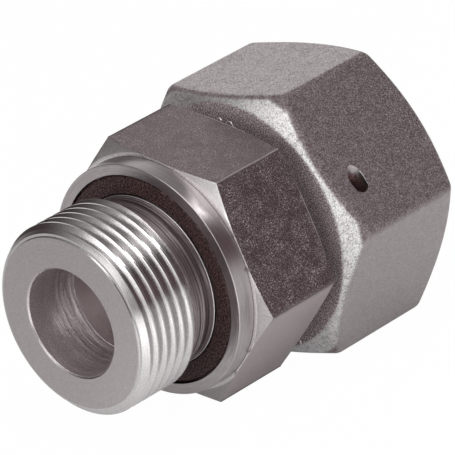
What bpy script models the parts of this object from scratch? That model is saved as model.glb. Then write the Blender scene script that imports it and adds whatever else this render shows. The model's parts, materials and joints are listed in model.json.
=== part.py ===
# Swivel adapter for hydraulic tube: a port stud with a soft seal on one end, and on the
# other a 24 degree cone with an O-ring inside a union nut that turns on a wire.
#
# Units are metres. Every piece is made on its own axis: local +Z runs from the end face of
# the stud towards the open mouth of the nut, and a distance along it is called a station.
# The assembly then lies down: its axis becomes world +X and the nut stands on one of its
# flats. The world origin is under the middle of the length, on the surface it lies on.

import math

import bmesh
import bpy
from mathutils import Matrix, Vector

# Port stud
STUD_THREAD_DIAMETER = 0.0330
STUD_THREAD_PITCH = 0.0020
STUD_CHAMFER = 0.0014
STUD_THREAD_RUN = 0.0123
STUD_LENGTH = 0.0180
NECK_DIAMETER = 0.0292
NECK_RAMP = 0.0007
BORE_DIAMETER = 0.0185
EDGE_BREAK = 0.0003

# Collar that carries the seal
COLLAR_DIAMETER = 0.0404
COLLAR_THICKNESS = 0.0034
SEAL_GROOVE_DIAMETER = 0.0366
SEAL_GROOVE_DEPTH = 0.0024

# Hexagon of the body
BODY_ACROSS_FLATS = 0.0410
BODY_HEX_LENGTH = 0.0165
BODY_HEX_FACE_DIAMETER = 0.0414
BODY_HEX_CHAMFER = math.radians(15.0)
BODY_CORNER_RADIUS = 0.0003

# Spigot that the nut turns on, with its cone and O-ring
SPIGOT_DIAMETER = 0.0279
SPIGOT_LENGTH = 0.0142
SPIGOT_FILLET = 0.0006
CONE_LENGTH = 0.0115
CONE_HALF_ANGLE = math.radians(12.0)
O_RING_CORD = 0.0025
O_RING_STATION_ON_CONE = 0.0050
O_RING_STAND_OUT = 0.0005

# Union nut
NUT_GAP = 0.0032
NUT_ACROSS_FLATS = 0.0460
NUT_LENGTH = 0.0263
NUT_FACE_DIAMETER = 0.0435
NUT_CHAMFER = math.radians(30.0)
NUT_CORNER_RADIUS = 0.0010
NUT_BORE_CLEARANCE = 0.0003
NUT_THREAD_DIAMETER = 0.0360
NUT_THREAD_PITCH = 0.0020
NUT_LAND_BEHIND_WIRE = 0.0002
NUT_RELIEF_DIAMETER = 0.0364
NUT_RELIEF_WIDTH = 0.0030
NUT_MOUTH_CHAMFER = 0.0012
NUT_TURN = math.radians(14.79)

# Retaining wire and the hole that it is fed through
WIRE_DIAMETER = 0.0030
WIRE_STATION_IN_NUT = 0.00666
WIRE_WRAP = math.radians(312.0)
WIRE_TAIL = 0.0080
FEED_HOLE_CLEARANCE = 0.0003
FEED_HOLE_SIDE_STEP = 0.0050
FEED_RAMP_DEPTH = 0.0010
FEED_RAMP_ANGLE = math.radians(40.0)
FEED_FLAT = 2

# Soft seal in the collar
SEAL_SIDE_CLEARANCE = 0.0003
SEAL_RECESS = 0.0001
SEAL_LIP = 0.0005

SEAT_CLEARANCE = 0.0003

# Facets
ROUND_STEPS = 48
ARC_STEPS = 6
CORNER_STEPS = 3
CORD_STEPS = 12
HOLE_STEPS = 20
OVERCUT = 0.002
THREAD_OVERCUT = 0.0001

# Stations along the axis, from the end face of the stud
COLLAR_BACK = STUD_LENGTH + COLLAR_THICKNESS
BODY_HEX_BACK = COLLAR_BACK + BODY_HEX_LENGTH
NUT_FRONT = BODY_HEX_BACK + NUT_GAP
NUT_BACK = NUT_FRONT + NUT_LENGTH
WIRE_STATION = NUT_FRONT + WIRE_STATION_IN_NUT
CONE_START = BODY_HEX_BACK + SPIGOT_LENGTH
CONE_END = CONE_START + CONE_LENGTH
O_RING_STATION = CONE_START + O_RING_STATION_ON_CONE

# Radii that follow from the fits
NUT_BORE_RADIUS = SPIGOT_DIAMETER / 2 + NUT_BORE_CLEARANCE
WIRE_RING_RADIUS = (SPIGOT_DIAMETER / 2 + NUT_BORE_RADIUS) / 2
WIRE_GROOVE_RADIUS = WIRE_DIAMETER / 2 + SEAT_CLEARANCE
FEED_HOLE_RADIUS = (WIRE_DIAMETER + FEED_HOLE_CLEARANCE) / 2

# 60 degree thread form, as shares of the pitch
FLANK_SLOPE = math.tan(math.radians(30.0))
OUTSIDE_THREAD_HEIGHT = 0.6134
INSIDE_THREAD_HEIGHT = 0.5413
FLAT_AT_MAJOR_DIAMETER = 0.125
STUD_MINOR_RADIUS = STUD_THREAD_DIAMETER / 2 - OUTSIDE_THREAD_HEIGHT * STUD_THREAD_PITCH
NUT_MINOR_RADIUS = NUT_THREAD_DIAMETER / 2 - INSIDE_THREAD_HEIGHT * NUT_THREAD_PITCH

# The shoulder inside the nut, and the relief where its thread ends
SHOULDER_START = WIRE_STATION + WIRE_GROOVE_RADIUS + NUT_LAND_BEHIND_WIRE
SHOULDER_END = SHOULDER_START + NUT_MINOR_RADIUS - NUT_BORE_RADIUS
RELIEF_END = SHOULDER_END + NUT_RELIEF_WIDTH


def cone_radius(station):
    return SPIGOT_DIAMETER / 2 - (station - CONE_START) * math.tan(CONE_HALF_ANGLE)


O_RING_OUTER_RADIUS = cone_radius(O_RING_STATION) + O_RING_STAND_OUT
O_RING_CENTRE_RADIUS = O_RING_OUTER_RADIUS - O_RING_CORD / 2
O_RING_GROOVE_RADIUS = O_RING_CENTRE_RADIUS - O_RING_CORD / 2 - SEAT_CLEARANCE
O_RING_GROOVE_HALF_WIDTH = O_RING_CORD / 2 + SEAT_CLEARANCE


def clear_scene():
    for item in list(bpy.data.objects):
        bpy.data.objects.remove(item)


def make_material(name, colour, roughness, metallic):
    material = bpy.data.materials.new(name)
    material.use_nodes = True
    shader = material.node_tree.nodes["Principled BSDF"]
    shader.inputs["Base Color"].default_value = (*colour, 1.0)
    shader.inputs["Roughness"].default_value = roughness
    shader.inputs["Metallic"].default_value = metallic
    return material


def new_object(name, bm, axis, material=None):
    """Turn a bmesh into an object that is carried by the axis empty."""
    bmesh.ops.recalc_face_normals(bm, faces=bm.faces)
    mesh = bpy.data.meshes.new(name)
    bm.to_mesh(mesh)
    bm.free()
    item = bpy.data.objects.new(name, mesh)
    bpy.context.scene.collection.objects.link(item)
    item.parent = axis
    if material:
        mesh.materials.append(material)
        mesh.shade_smooth()
        mesh.set_sharp_from_angle(angle=math.radians(28.0))
    else:
        item.hide_render = True
        item.display_type = "WIRE"
    return item


def turn(outline, steps=ROUND_STEPS):
    """Spin a closed outline of (station, radius) points once round the axis."""
    bm = bmesh.new()
    verts = [bm.verts.new((radius, 0.0, station)) for station, radius in outline]
    edges = [bm.edges.new((verts[i - 1], verts[i])) for i in range(len(verts))]
    bmesh.ops.spin(bm, geom=verts + edges, cent=(0, 0, 0), axis=(0, 0, 1),
                   angle=2 * math.pi, steps=steps, use_merge=True, use_duplicate=False)
    return bm


def arc(station, radius, size, start, end, steps=ARC_STEPS):
    """Points of an arc in the turning plane; angles are in degrees, 0 along the axis."""
    points = []
    for i in range(steps + 1):
        angle = math.radians(start + (end - start) * i / steps)
        points.append((station + size * math.cos(angle), radius + size * math.sin(angle)))
    return points


def groove_in_shaft(station, shaft_radius, centre_radius, size):
    """Round-bottomed groove cut into a shaft, read from low station to high."""
    dip = math.degrees(math.asin((shaft_radius - centre_radius) / size))
    return arc(station, centre_radius, size, 180.0 - dip, 360.0 + dip)


def groove_in_bore(station, bore_radius, centre_radius, size):
    """Round-bottomed groove cut into a bore, read from high station to low."""
    rise = math.degrees(math.asin((bore_radius - centre_radius) / size))
    return arc(station, centre_radius, size, rise, 180.0 - rise)


def hex_sleeve(name, across_flats, corner_radius, start, end, axis):
    """Ring with a hexagonal hole, which cuts a turned blank down to its flats.

    The hole has rounded corners, and the first flat faces local +X.
    """
    inradius = across_flats / 2
    fillet_centre = (inradius - corner_radius) / math.cos(math.pi / 6)
    hole = []
    for corner in range(6):
        middle = math.pi / 6 + corner * math.pi / 3
        for i in range(CORNER_STEPS + 1):
            angle = middle + math.pi / 3 * (i / CORNER_STEPS - 0.5)
            hole.append(Vector((fillet_centre * math.cos(middle) + corner_radius * math.cos(angle),
                                fillet_centre * math.sin(middle) + corner_radius * math.sin(angle))))
    outside = [point.normalized() * across_flats for point in hole]
    bm = bmesh.new()
    loops = [[bm.verts.new((point.x, point.y, station)) for point in ring]
             for ring, station in ((hole, start), (outside, start), (outside, end), (hole, end))]
    for i in range(len(hole)):
        for a, b in zip(loops, loops[1:] + loops[:1]):
            bm.faces.new((a[i - 1], a[i], b[i], b[i - 1]))
    return new_object(name, bm, axis)


def straight_cutter(name, start, end, radius, axis):
    """Closed cylinder between two points, used as a drill."""
    direction = end - start
    bm = bmesh.new()
    place = Matrix.Translation((start + end) / 2) @ direction.to_track_quat("Z", "Y").to_matrix().to_4x4()
    bmesh.ops.create_cone(bm, cap_ends=True, segments=HOLE_STEPS, radius1=radius, radius2=radius,
                          depth=direction.length, matrix=place)
    return new_object(name, bm, axis)


def thread_cutter(name, section, pitch, start, end, axis):
    """Right-handed helix of a closed (offset along the axis, radius) section.

    Its points lie half a facet away from those of the turned blank, so that no edges meet.
    """
    steps = round(ROUND_STEPS * (end - start) / pitch)
    bm = bmesh.new()
    rings = []
    for i in range(steps + 1):
        angle = 2 * math.pi * (i + 0.5) / ROUND_STEPS
        middle = start + pitch * i / ROUND_STEPS
        rings.append([bm.verts.new((radius * math.cos(angle), radius * math.sin(angle), middle + offset))
                      for offset, radius in section])
    for a, b in zip(rings, rings[1:]):
        for i in range(len(section)):
            bm.faces.new((a[i - 1], a[i], b[i], b[i - 1]))
    bm.faces.new(rings[0])
    bm.faces.new(rings[-1])
    return new_object(name, bm, axis)


def stud_thread_cutter(axis):
    """V groove that leaves the stud's thread; it runs out over the neck."""
    major = STUD_THREAD_DIAMETER / 2
    half_at_major = STUD_THREAD_PITCH * (1 - FLAT_AT_MAJOR_DIAMETER) / 2
    half_at_root = half_at_major - (major - STUD_MINOR_RADIUS) * FLANK_SLOPE
    outside = major + THREAD_OVERCUT
    half_outside = half_at_major + THREAD_OVERCUT * FLANK_SLOPE
    section = [(-half_at_root, STUD_MINOR_RADIUS), (half_at_root, STUD_MINOR_RADIUS),
               (half_outside, outside), (-half_outside, outside)]
    return thread_cutter("cutter_stud_thread", section, STUD_THREAD_PITCH, -STUD_THREAD_PITCH,
                         STUD_THREAD_RUN + NECK_RAMP + STUD_THREAD_PITCH / 2, axis)


def nut_thread_cutter(axis):
    """V groove of the nut's thread, from its mouth to the relief."""
    half_at_root = NUT_THREAD_PITCH * FLAT_AT_MAJOR_DIAMETER / 2
    half_at_minor = half_at_root + (NUT_THREAD_DIAMETER / 2 - NUT_MINOR_RADIUS) * FLANK_SLOPE
    inside = NUT_MINOR_RADIUS - THREAD_OVERCUT
    half_inside = half_at_minor + THREAD_OVERCUT * FLANK_SLOPE
    section = [(-half_inside, inside), (half_inside, inside),
               (half_at_root, NUT_THREAD_DIAMETER / 2), (-half_at_root, NUT_THREAD_DIAMETER / 2)]
    return thread_cutter("cutter_nut_thread", section, NUT_THREAD_PITCH, RELIEF_END - NUT_RELIEF_WIDTH / 2,
                         NUT_BACK + NUT_THREAD_PITCH, axis)


def cut(item, cutter, operation="DIFFERENCE"):
    modifier = item.modifiers.new(cutter.name, "BOOLEAN")
    modifier.operation = operation
    modifier.object = cutter


def hex_blank(front, back, across_flats, face_diameter, chamfer):
    """Outside of a chamfered hexagon before its flats are cut, from front to back."""
    corner_radius = across_flats / math.sqrt(3)
    fall = (corner_radius - face_diameter / 2) * math.tan(chamfer)
    return [(front, face_diameter / 2), (front + fall, corner_radius),
            (back - fall, corner_radius), (back, face_diameter / 2)]


def make_body(axis, steel):
    """Stud, collar, hexagon, spigot and cone, turned from one bar with its through bore."""
    bore = BORE_DIAMETER / 2
    stud = STUD_THREAD_DIAMETER / 2
    neck = NECK_DIAMETER / 2
    collar = COLLAR_DIAMETER / 2
    groove = SEAL_GROOVE_DIAMETER / 2
    spigot = SPIGOT_DIAMETER / 2
    groove_start = O_RING_STATION - O_RING_GROOVE_HALF_WIDTH
    groove_end = O_RING_STATION + O_RING_GROOVE_HALF_WIDTH

    outline = [(0.0, bore + EDGE_BREAK), (0.0, stud - STUD_CHAMFER), (STUD_CHAMFER, stud),
               (STUD_THREAD_RUN, stud), (STUD_THREAD_RUN + NECK_RAMP, neck)]
    outline += [(STUD_LENGTH + SEAL_GROOVE_DEPTH, neck), (STUD_LENGTH + SEAL_GROOVE_DEPTH, groove),
                (STUD_LENGTH, groove), (STUD_LENGTH, collar - EDGE_BREAK),
                (STUD_LENGTH + EDGE_BREAK, collar), (COLLAR_BACK, collar)]
    outline += hex_blank(COLLAR_BACK, BODY_HEX_BACK, BODY_ACROSS_FLATS, BODY_HEX_FACE_DIAMETER,
                         BODY_HEX_CHAMFER)
    outline += arc(BODY_HEX_BACK + SPIGOT_FILLET, spigot + SPIGOT_FILLET, SPIGOT_FILLET, 180.0, 270.0, 3)
    outline += groove_in_shaft(WIRE_STATION, spigot, WIRE_RING_RADIUS, WIRE_GROOVE_RADIUS)
    outline += [(CONE_START, spigot), (groove_start, cone_radius(groove_start)),
                (groove_start, O_RING_GROOVE_RADIUS), (groove_end, O_RING_GROOVE_RADIUS),
                (groove_end, cone_radius(groove_end))]
    outline += [(CONE_END - EDGE_BREAK, cone_radius(CONE_END - EDGE_BREAK)),
                (CONE_END, cone_radius(CONE_END) - EDGE_BREAK), (CONE_END, bore + EDGE_BREAK),
                (CONE_END - EDGE_BREAK, bore), (EDGE_BREAK, bore)]

    body = new_object("body", turn(outline), axis, steel)
    sleeve = hex_sleeve("cutter_body_hex", BODY_ACROSS_FLATS, BODY_CORNER_RADIUS,
                        COLLAR_BACK - EDGE_BREAK, BODY_HEX_BACK + EDGE_BREAK, axis)
    sleeve.rotation_euler.z = NUT_TURN
    cut(body, sleeve)
    cut(body, stud_thread_cutter(axis))
    return body


def feed_path():
    """Where the wire goes in: mouth, bend and the point where it meets its ring.

    The path leaves a flat of the nut beside its middle and runs into the ring groove as a
    tangent. Its first stretch, out to the surface, slopes less than the rest.
    """
    half = NUT_ACROSS_FLATS / 2
    reach = math.hypot(half, FEED_HOLE_SIDE_STEP)
    slope = math.acos(WIRE_RING_RADIUS / reach) + math.atan2(FEED_HOLE_SIDE_STEP, half)
    turn_to_flat = Matrix.Rotation(-FEED_FLAT * math.pi / 3, 3, "Z")

    def place(outward, sideways):
        return turn_to_flat @ Vector((outward, sideways, WIRE_STATION))

    bend_side = FEED_HOLE_SIDE_STEP + FEED_RAMP_DEPTH / math.tan(slope)
    ramp_run = FEED_RAMP_DEPTH + OVERCUT
    mouth = place(half + OVERCUT, bend_side - ramp_run / math.tan(FEED_RAMP_ANGLE))
    bend = place(half - FEED_RAMP_DEPTH, bend_side)
    tangent = place(WIRE_RING_RADIUS * math.cos(slope), WIRE_RING_RADIUS * math.sin(slope))
    return mouth, bend, tangent


def make_nut(axis, steel):
    """Forged hexagon nut with a threaded mouth, a shoulder and a collar for the wire."""
    relief = NUT_RELIEF_DIAMETER / 2
    outline = hex_blank(NUT_FRONT, NUT_BACK, NUT_ACROSS_FLATS, NUT_FACE_DIAMETER, NUT_CHAMFER)
    outline += [(NUT_BACK, NUT_MINOR_RADIUS + NUT_MOUTH_CHAMFER),
                (NUT_BACK - NUT_MOUTH_CHAMFER, NUT_MINOR_RADIUS),
                (RELIEF_END + relief - NUT_MINOR_RADIUS, NUT_MINOR_RADIUS), (RELIEF_END, relief),
                (SHOULDER_END, relief), (SHOULDER_END, NUT_MINOR_RADIUS),
                (SHOULDER_START, NUT_BORE_RADIUS)]
    outline += groove_in_bore(WIRE_STATION, NUT_BORE_RADIUS, WIRE_RING_RADIUS, WIRE_GROOVE_RADIUS)
    outline += [(NUT_FRONT + EDGE_BREAK, NUT_BORE_RADIUS), (NUT_FRONT, NUT_BORE_RADIUS + EDGE_BREAK)]

    nut = new_object("swivel_nut", turn(outline), axis, steel)
    cut(nut, hex_sleeve("cutter_nut_hex", NUT_ACROSS_FLATS, NUT_CORNER_RADIUS,
                        NUT_FRONT - OVERCUT, NUT_BACK + OVERCUT, axis))
    cut(nut, nut_thread_cutter(axis))
    mouth, bend, tangent = feed_path()
    cut(nut, straight_cutter("cutter_feed_ramp", mouth, bend, FEED_HOLE_RADIUS, axis))
    start = bend + (bend - tangent).normalized() * FEED_HOLE_RADIUS / 2
    cut(nut, straight_cutter("cutter_feed_hole", start, tangent, FEED_HOLE_RADIUS, axis))
    return nut


def make_wire(axis, steel):
    """Round wire, bent into an open ring, with a straight tail up the feed hole."""
    _, bend, tangent = feed_path()
    tail_end = tangent + (bend - tangent).normalized() * WIRE_TAIL
    points = [tail_end, tangent]
    start = math.atan2(tangent.y, tangent.x)
    steps = round(ROUND_STEPS * WIRE_WRAP / (2 * math.pi))
    for i in range(1, steps + 1):
        angle = start + WIRE_WRAP * i / steps
        points.append(Vector((WIRE_RING_RADIUS * math.cos(angle), WIRE_RING_RADIUS * math.sin(angle),
                              WIRE_STATION)))
    curve = bpy.data.curves.new("retaining_wire", "CURVE")
    curve.dimensions = "3D"
    curve.bevel_depth = WIRE_DIAMETER / 2
    curve.bevel_resolution = 2
    curve.use_fill_caps = True
    spline = curve.splines.new("POLY")
    spline.points.add(len(points) - 1)
    for point, place in zip(spline.points, points):
        point.co = (*place, 1.0)
    curve.materials.append(steel)
    wire = bpy.data.objects.new("retaining_wire", curve)
    bpy.context.scene.collection.objects.link(wire)
    wire.parent = axis
    return wire


def make_stud_seal(axis, rubber):
    """Flat elastomer ring in the collar's groove, with its outer edge cut back to a lip."""
    inner = NECK_DIAMETER / 2 + SEAL_SIDE_CLEARANCE
    outer = SEAL_GROOVE_DIAMETER / 2 - SEAL_SIDE_CLEARANCE
    front = STUD_LENGTH + SEAL_RECESS
    back = STUD_LENGTH + SEAL_GROOVE_DEPTH - SEAT_CLEARANCE
    outline = [(front, inner), (front, outer - SEAL_LIP), (front + SEAL_LIP, outer),
               (back, outer), (back, inner)]
    return new_object("stud_seal", turn(outline), axis, rubber)


def make_o_ring(axis, rubber):
    outline = arc(O_RING_STATION, O_RING_CENTRE_RADIUS, O_RING_CORD / 2, 0.0, 360.0, CORD_STEPS)[:-1]
    return new_object("cone_o_ring", turn(outline), axis, rubber)


def main():
    clear_scene()
    body_steel = make_material("body_steel", (0.46, 0.43, 0.43), 0.32, 1.0)
    nut_steel = make_material("nut_steel", (0.40, 0.37, 0.37), 0.48, 1.0)
    wire_steel = make_material("wire_steel", (0.50, 0.48, 0.47), 0.30, 1.0)
    seal_rubber = make_material("seal_rubber", (0.020, 0.014, 0.012), 0.55, 0.0)
    ring_rubber = make_material("ring_rubber", (0.012, 0.012, 0.013), 0.50, 0.0)

    axis = bpy.data.objects.new("swivel_axis", None)
    bpy.context.scene.collection.objects.link(axis)
    axis.location = (-NUT_BACK / 2, 0.0, NUT_ACROSS_FLATS / 2)
    axis.rotation_euler = (0.0, math.pi / 2, 0.0)

    make_body(axis, body_steel)
    make_stud_seal(axis, seal_rubber)
    make_nut(axis, nut_steel)
    make_wire(axis, wire_steel)
    make_o_ring(axis, ring_rubber)


main()
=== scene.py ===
import json
import math

import bmesh
import bpy
from mathutils import Matrix, Vector


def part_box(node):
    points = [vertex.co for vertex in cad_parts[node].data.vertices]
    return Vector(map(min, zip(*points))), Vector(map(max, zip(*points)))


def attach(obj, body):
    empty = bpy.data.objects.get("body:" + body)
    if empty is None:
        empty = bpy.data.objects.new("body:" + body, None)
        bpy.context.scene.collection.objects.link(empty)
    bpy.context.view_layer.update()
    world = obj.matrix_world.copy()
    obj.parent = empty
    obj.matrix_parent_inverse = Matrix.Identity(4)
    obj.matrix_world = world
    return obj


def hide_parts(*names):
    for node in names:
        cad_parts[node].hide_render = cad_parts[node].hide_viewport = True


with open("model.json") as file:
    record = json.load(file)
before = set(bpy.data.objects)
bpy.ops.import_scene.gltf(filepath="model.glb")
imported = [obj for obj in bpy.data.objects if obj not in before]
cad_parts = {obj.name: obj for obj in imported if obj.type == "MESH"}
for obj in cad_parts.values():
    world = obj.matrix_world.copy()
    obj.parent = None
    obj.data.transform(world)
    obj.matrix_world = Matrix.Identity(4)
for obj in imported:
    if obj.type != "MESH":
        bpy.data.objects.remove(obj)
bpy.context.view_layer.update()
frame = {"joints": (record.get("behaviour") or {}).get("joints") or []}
print("frame loaded")

mm = 0.001
axisHeight = frame["joints"][0]["pos_m"][2]
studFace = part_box("body")[0].x          # station 0 is the end face of the stud
around = (1.0, 0.0, 0.0)
samePlace = 1e-7                        # in metres: points closer than this are one point
onPlane = 2e-6                          # in metres: a point this near a flat lies on it
alongAxis = 0.999                       # an edge with this share of its length along the axis runs along it
cornerShare = 0.45                      # the most that a rounded corner takes of each side


# stations and radii are in millimetres; a turn is in degrees from straight down towards +Y
def spot(station, radius=0.0, turn=0.0):
    angle = math.radians(turn)
    return Vector((studFace + station * mm, radius * mm * math.sin(angle),
                   axisHeight - radius * mm * math.cos(angle)))


def outwardAt(turn):
    return (spot(0.0, 1.0, turn) - spot(0.0)).normalized()


def objectMode():
    if bpy.context.object and bpy.context.object.mode != "OBJECT":
        bpy.ops.object.mode_set(mode="OBJECT")


def freshStart():
    objectMode()
    bpy.ops.object.select_all(action="DESELECT")


def pickOnly(piece):
    freshStart()
    piece.select_set(True)
    bpy.context.view_layer.objects.active = piece


# in edit mode: select the elements that pass a test, and nothing else
def pick(kind, test):
    piece = bpy.context.object
    bpy.ops.mesh.select_mode(type=kind)
    bpy.ops.mesh.select_all(action="DESELECT")
    shape = bmesh.from_edit_mesh(piece.data)
    chosen = {"VERT": shape.verts, "EDGE": shape.edges}[kind]
    found = [element for element in chosen if test(element)]
    for element in found:
        element.select_set(True)
    shape.select_flush_mode()
    bmesh.update_edit_mesh(piece.data)
    return len(found)


def applyPlace(piece, name):
    pickOnly(piece)
    bpy.ops.object.transform_apply(location=True, rotation=True, scale=True)
    piece.name = name
    piece.data.name = name
    return piece


# a new mesh of a single point, left in edit mode
def startPoint(place):
    freshStart()
    bpy.ops.mesh.primitive_plane_add(size=mm, location=place)
    bpy.ops.object.mode_set(mode="EDIT")
    bpy.ops.mesh.select_mode(type="VERT")
    bpy.ops.mesh.select_all(action="SELECT")
    bpy.ops.mesh.merge(type="CENTER")


# extrude the point from corner to corner and back to the first
def extrudeRound(corners):
    for last, following in zip(corners, corners[1:] + corners[:1]):
        bpy.ops.mesh.extrude_vertices_move(TRANSFORM_OT_translate={"value": following - last})
    bpy.ops.mesh.select_all(action="SELECT")
    bpy.ops.mesh.remove_doubles(threshold=samePlace)


# close the open ends and turn every face outwards
def closeEnds():
    bpy.ops.mesh.select_all(action="DESELECT")
    bpy.ops.mesh.select_mode(type="EDGE")
    bpy.ops.mesh.select_non_manifold()
    bpy.ops.mesh.fill_holes(sides=0)
    bpy.ops.mesh.select_all(action="SELECT")
    bpy.ops.mesh.normals_make_consistent(inside=False)


# spin a closed outline of (station, radius) round the axis
def turnOutline(name, outline, steps):
    startPoint(spot(*outline[0]))
    extrudeRound([spot(*point) for point in outline])
    bpy.ops.mesh.spin(steps=steps, angle=2 * math.pi, center=spot(0.0), axis=around)
    bpy.ops.mesh.select_all(action="SELECT")
    bpy.ops.mesh.remove_doubles(threshold=samePlace)
    bpy.ops.mesh.normals_make_consistent(inside=False)
    return applyPlace(bpy.context.object, name)


# sweep a round section about a centre, from where it stands and square to the way it faces
def sweepRound(place, facing, radius, sides, centre, angle, steps):
    freshStart()
    bpy.ops.mesh.primitive_circle_add(vertices=sides, radius=radius * mm, location=place,
                                      rotation=facing.to_track_quat("Z", "Y").to_euler())
    bpy.ops.object.mode_set(mode="EDIT")
    bpy.ops.mesh.select_all(action="SELECT")
    bpy.ops.mesh.spin(steps=steps, angle=math.radians(angle), center=centre, axis=around)


# mill six flats on a turned blank: each cut takes the outside away and leaves a face
def millFlats(piece, shape):
    pickOnly(piece)
    bpy.ops.object.mode_set(mode="EDIT")
    for flat in range(6):
        turn = shape["turn"] + 60.0 * flat
        bpy.ops.mesh.select_all(action="SELECT")
        bpy.ops.mesh.bisect(plane_co=spot(0.0, shape["flats"] / 2, turn), plane_no=outwardAt(turn),
                            use_fill=True, clear_outer=True, threshold=samePlace)
    bpy.ops.object.mode_set(mode="OBJECT")


def isOnFlat(point, shape):
    return any(abs((point - spot(0.0)).dot(outwardAt(shape["turn"] + 60.0 * flat))
                   - shape["flats"] / 2 * mm) < onPlane for flat in range(6))


def runsAlong(edge):
    return abs((edge.verts[0].co - edge.verts[1].co).normalized().x) > alongAxis


# round the corners between the flats
def roundCorners(piece, shape):
    pickOnly(piece)
    bpy.ops.object.mode_set(mode="EDIT")

    def isCorner(edge):
        onFlats = all(isOnFlat(vert.co, shape) for vert in edge.verts)
        return onFlats and runsAlong(edge) and edge.calc_face_angle(0.0) > math.radians(shape["cornerLeast"])

    print("  corner edges", pick("EDGE", isCorner))
    bpy.ops.mesh.bevel(offset=shape["cornerWidth"] * mm, segments=shape["cornerSteps"], affect="EDGES",
                       clamp_overlap=False)
    bpy.ops.object.mode_set(mode="OBJECT")


# round the curved edges where the flats of a hexagon meet its chamfer cones
def softenRims(piece, shape):
    pickOnly(piece)
    bpy.ops.object.mode_set(mode="EDIT")

    def isRim(edge):
        if len(edge.link_faces) != 2 or edge.calc_face_angle(0.0) < math.radians(shape["rimLeast"]):
            return False
        reach = min((vert.co - spot(0.0)).yz.length for vert in edge.verts)
        return reach > (shape["flats"] / 2 - shape["rimInside"]) * mm

    print("  rim edges", pick("EDGE", isRim))
    bpy.ops.mesh.bevel(offset=shape["rimWidth"] * mm, segments=shape["rimSteps"], affect="EDGES",
                       clamp_overlap=False)
    bpy.ops.object.mode_set(mode="OBJECT")


# hexagonal bar along the axis, its six corners rounded
def hexBar(name, front, back, shape):
    freshStart()
    bpy.ops.mesh.primitive_cylinder_add(vertices=6, radius=shape["flats"] / math.sqrt(3) * mm,
                                        depth=(back - front) * mm, location=spot((front + back) / 2),
                                        rotation=(0.0, math.pi / 2, 0.0))
    bar = applyPlace(bpy.context.object, name)
    bpy.ops.object.mode_set(mode="EDIT")
    pick("EDGE", runsAlong)
    bpy.ops.mesh.bevel(offset=shape["cornerRadius"] * math.tan(math.pi / 6) * mm,
                       segments=shape["cornerSteps"], affect="EDGES", clamp_overlap=False)
    bpy.ops.object.mode_set(mode="OBJECT")
    return bar


# a cutter that winds a closed section round the axis, right-handed
def windSection(name, section, shape, start):
    centre = spot(start)
    turn = shape["threadTurn"]
    startPoint(centre)
    bpy.ops.transform.translate(value=spot(start + section[0][0], section[0][1], turn) - centre)
    extrudeRound([spot(station, radius, turn) for station, radius in section])
    tool = bpy.context.object
    wind = tool.modifiers.new("wind", "SCREW")
    wind.axis = "X"
    wind.angle = 2 * math.pi
    wind.screw_offset = shape["pitch"] * mm
    wind.iterations = shape["threadTurns"]
    wind.steps = roundSteps
    wind.render_steps = roundSteps
    wind.use_merge_vertices = False
    pickOnly(tool)
    bpy.ops.object.modifier_apply(modifier="wind")
    bpy.ops.object.mode_set(mode="EDIT")
    bpy.ops.mesh.select_all(action="SELECT")
    bpy.ops.mesh.remove_doubles(threshold=samePlace)
    closeEnds()
    return applyPlace(tool, name)


# cut a tool out of a piece, or keep only what both share, and throw the tool away
def cutAway(piece, tool, operation="DIFFERENCE"):
    cut = piece.modifiers.new(tool.name, "BOOLEAN")
    cut.operation = operation
    cut.solver = "MANIFOLD"
    cut.object = tool
    pickOnly(piece)
    bpy.ops.object.modifier_apply(modifier=cut.name)
    bpy.data.objects.remove(tool)


def smoothPiece(piece, angle):
    pickOnly(piece)
    bpy.ops.object.shade_smooth_by_angle(angle=math.radians(angle))
    weigh = piece.modifiers.new("weigh", "WEIGHTED_NORMAL")
    weigh.keep_sharp = True
    weigh.weight = 60
    bpy.ops.object.modifier_apply(modifier="weigh")


# points of an arc in the turning plane; angles in degrees, 0 along the axis
def arcPoints(station, radius, size, start, end, steps):
    return [(station + size * math.cos(math.radians(start + (end - start) * i / steps)),
             radius + size * math.sin(math.radians(start + (end - start) * i / steps)))
            for i in range(steps + 1)]


# round the corners of a closed outline: each (station, radius, corner) becomes an arc
def softOutline(points, steps=3):
    soft = []
    count = len(points)
    for i, (station, radius, corner) in enumerate(points):
        here = Vector((station, radius))
        if not corner:
            soft.append((station, radius))
            continue
        before = Vector(points[i - 1][:2]) - here
        after = Vector(points[(i + 1) % count][:2]) - here
        half = before.angle(after) / 2
        reach = min(corner / math.tan(half), before.length * cornerShare, after.length * cornerShare)
        size = reach * math.tan(half)
        middle = here + (before.normalized() + after.normalized()).normalized() * (size / math.sin(half))
        first = here + before.normalized() * reach - middle
        last = here + after.normalized() * reach - middle
        sweep = first.angle_signed(last)
        for k in range(steps + 1):
            turned = Matrix.Rotation(-sweep * k / steps, 2) @ first
            soft.append(tuple(middle + turned))
    return soft


# outline points that stay sharp
def sharpSpots(points):
    return [(station, radius, 0.0) for station, radius in points]


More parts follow.
